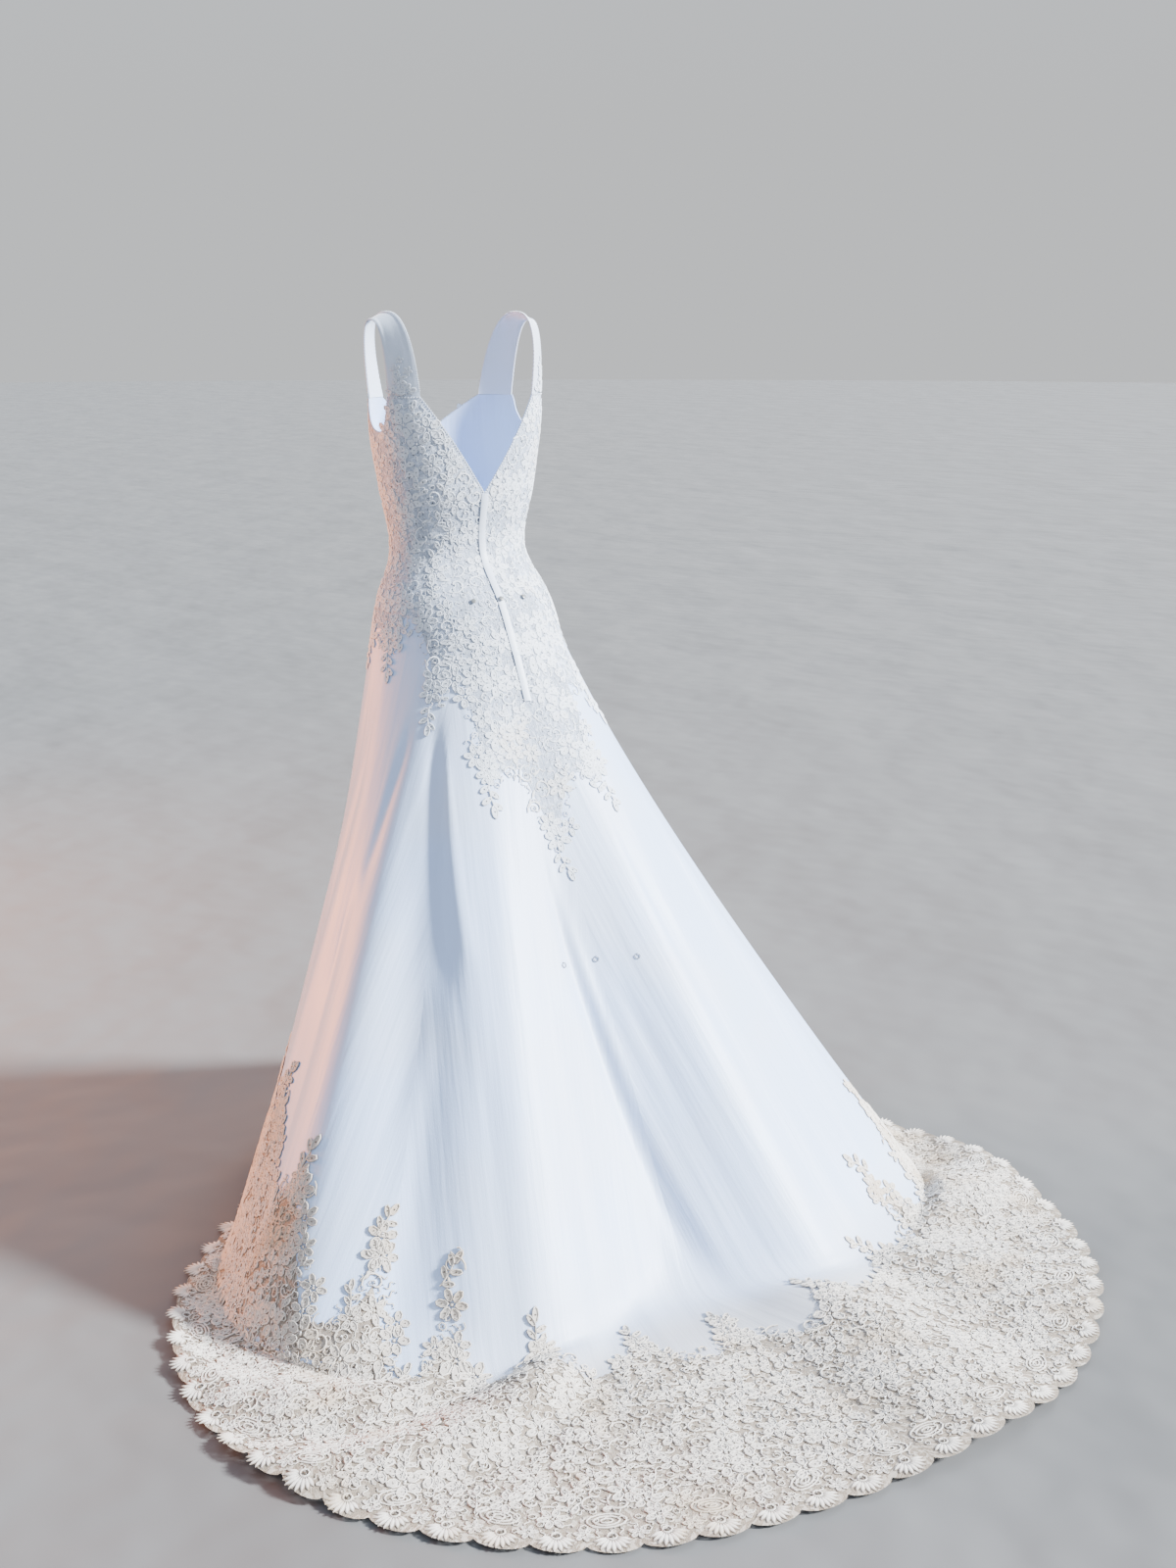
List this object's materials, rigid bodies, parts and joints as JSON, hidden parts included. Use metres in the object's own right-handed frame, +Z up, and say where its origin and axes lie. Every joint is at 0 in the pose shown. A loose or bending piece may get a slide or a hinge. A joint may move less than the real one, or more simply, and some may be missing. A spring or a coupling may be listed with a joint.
{
  "type": "wedding dress",
  "caption": "Sleeveless A-line wedding dress with a low V back, beaded lace over the bodice, lace at the scalloped hem and a long floor train, open at neck, armholes and hem.",
  "frame": {"origin": "where the wearer's shoulders hold the dress: midway between the tops of the two straps", "axes": "+Z up, +X to the wearer's left, -Y to the wearer's front; the train runs back along +Y, and the floor is at z = -1.42"},
  "size_m": [1.4274, 1.5612, 1.426],
  "materials": {
    "satin": "soft satin",
    "strap_satin": "soft satin",
    "bodice_lace": "matt corded lace",
    "hem_lace": "matt corded lace",
    "button_cloth": "covered, satin",
    "thread": "matt thread"
  },
  "bodies": {
    "root": {"front": "satin", "side_front_left": "satin", "side_front_right": "satin", "side_back_left": "satin", "side_back_right": "satin", "back_left": "satin", "back_right": "satin", "strap_left": "strap_satin", "strap_right": "strap_satin", "zip_lap": "strap_satin", "bodice_lace_front": "bodice_lace", "hem_lace_front": "hem_lace", "bodice_lace_left": "bodice_lace", "hem_lace_left": "hem_lace", "bodice_lace_right": "bodice_lace", "hem_lace_right": "hem_lace", "button_left": "button_cloth", "loop_left": "thread", "button_middle": "button_cloth", "loop_middle": "thread", "button_right": "button_cloth", "loop_right": "thread"}
  },
  "joints": []
}
